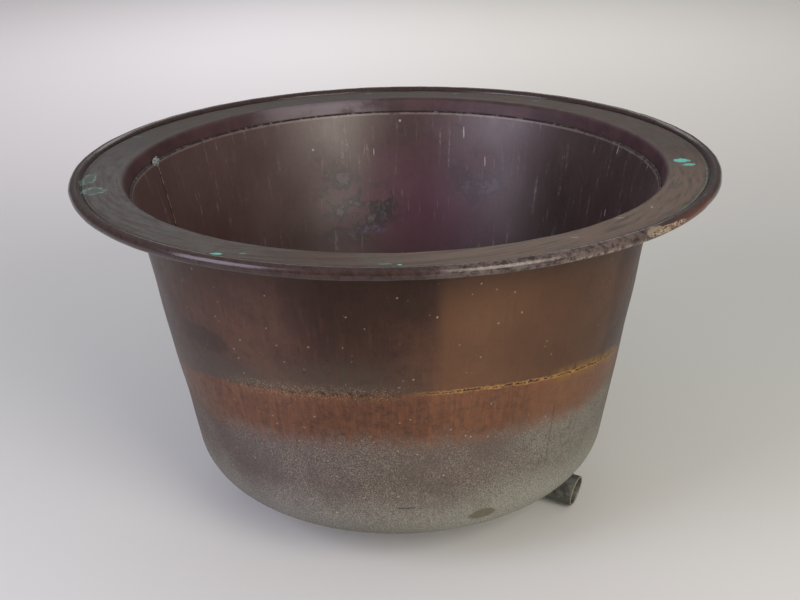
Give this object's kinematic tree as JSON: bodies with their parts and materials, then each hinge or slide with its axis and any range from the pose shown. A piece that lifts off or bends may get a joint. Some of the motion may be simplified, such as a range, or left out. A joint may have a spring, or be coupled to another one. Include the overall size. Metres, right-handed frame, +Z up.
{
  "type": "fire pit with grate",
  "caption": "Round copper fire pit bowl with tapered wall, dished bottom, wide flat rim with a rolled edge, low drain pipe and a lift-out iron bar grate.",
  "frame": {"origin": "on the bowl's axis, at the flattened middle of the dished bottom, which stands on the ground", "axes": "+Z up along the bowl's axis; -Y is the side seen in the picture; the drain pipe leaves towards +X and a little to -Y"},
  "size_m": [0.812, 0.8118, 0.4705],
  "materials": {
    "rim_copper": "aged copper, grey-green and brown patina, worn bright along the rolled edge",
    "wall_copper": "aged copper, brown to purple-grey patina, sooty",
    "pan_copper": "aged copper, pale speckled grey-green patina",
    "pipe_copper": "aged copper, dark grey-green",
    "rivet_copper": "hammered copper, brown",
    "braze": "brazing brass, dulled",
    "solder": "dull grey soft solder",
    "edge_iron": "black wrought iron rod, hidden in the rolled edge",
    "grate_iron": "forged iron, sooty with brown rust"
  },
  "bodies": {
    "vessel": {"rim_flange": "rim_copper", "rim_edge_rod": "edge_iron", "wall_sheet_front": "wall_copper", "wall_sheet_rear": "wall_copper", "wall_seam_left": "braze", "wall_seam_right": "braze", "pan_braze_ring": "braze", "collar_solder_ring": "solder", "bottom_pan": "pan_copper", "drain_pipe": "pipe_copper", "drain_saddle": "pipe_copper", "drain_rivets": "rivet_copper"},
    "grate": {"grate_ring": "grate_iron", "grate_cross_bar_front": "grate_iron", "grate_cross_bar_rear": "grate_iron", "grate_bar_1": "grate_iron", "grate_bar_2": "grate_iron", "grate_bar_3": "grate_iron", "grate_bar_4": "grate_iron", "grate_bar_5": "grate_iron", "grate_bar_6": "grate_iron", "grate_bar_7": "grate_iron", "grate_bar_8": "grate_iron", "grate_bar_9": "grate_iron", "grate_bar_10": "grate_iron", "grate_bar_11": "grate_iron", "grate_leg_1": "grate_iron", "grate_leg_2": "grate_iron", "grate_leg_3": "grate_iron", "grate_leg_4": "grate_iron"}
  },
  "joints": [
    {"name": "grate_lift", "type": "slide", "parent": "vessel", "child": "grate", "axis": [0, 0, 1], "range_m": [0, 0.5]}
  ]
}
